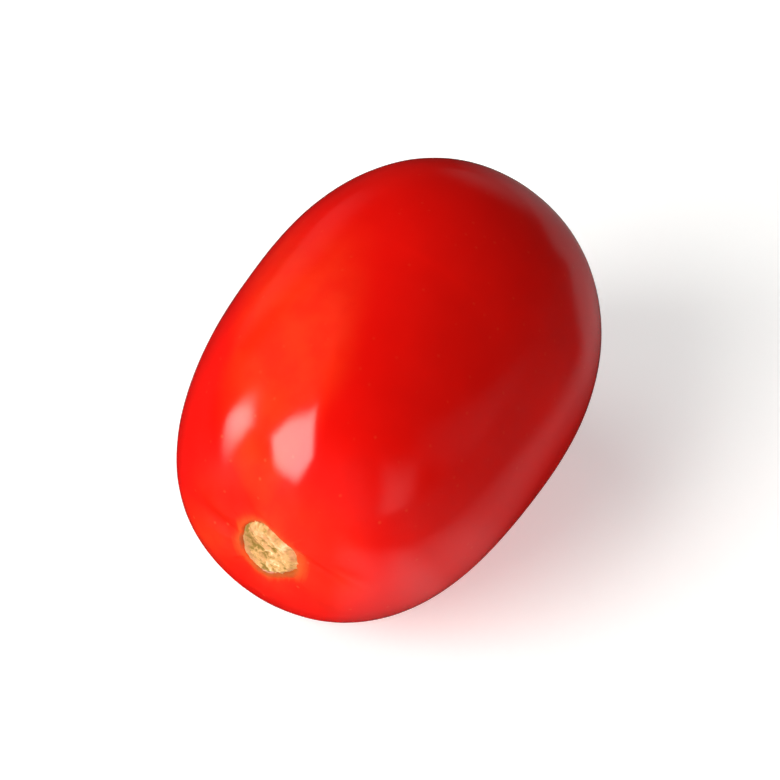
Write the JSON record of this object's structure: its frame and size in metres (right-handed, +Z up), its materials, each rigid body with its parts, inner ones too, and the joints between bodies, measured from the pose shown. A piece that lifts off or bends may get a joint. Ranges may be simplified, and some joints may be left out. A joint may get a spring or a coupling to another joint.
{
  "type": "tomato",
  "caption": "Ripe red plum tomato with a corky stem scar, lying on its side on a small flat spot.",
  "frame": {"origin": "on the ground, under the middle of the bounding box", "axes": "+Z up, the fruit's long axis along Y: stem end towards -Y (the front), blossom end towards +Y"},
  "size_m": [0.0474, 0.067, 0.0488],
  "materials": {
    "skin": "smooth, glossy",
    "corky_scar": "dry, corky"
  },
  "bodies": {
    "root": {"tomato": "skin"}
  },
  "joints": []
}
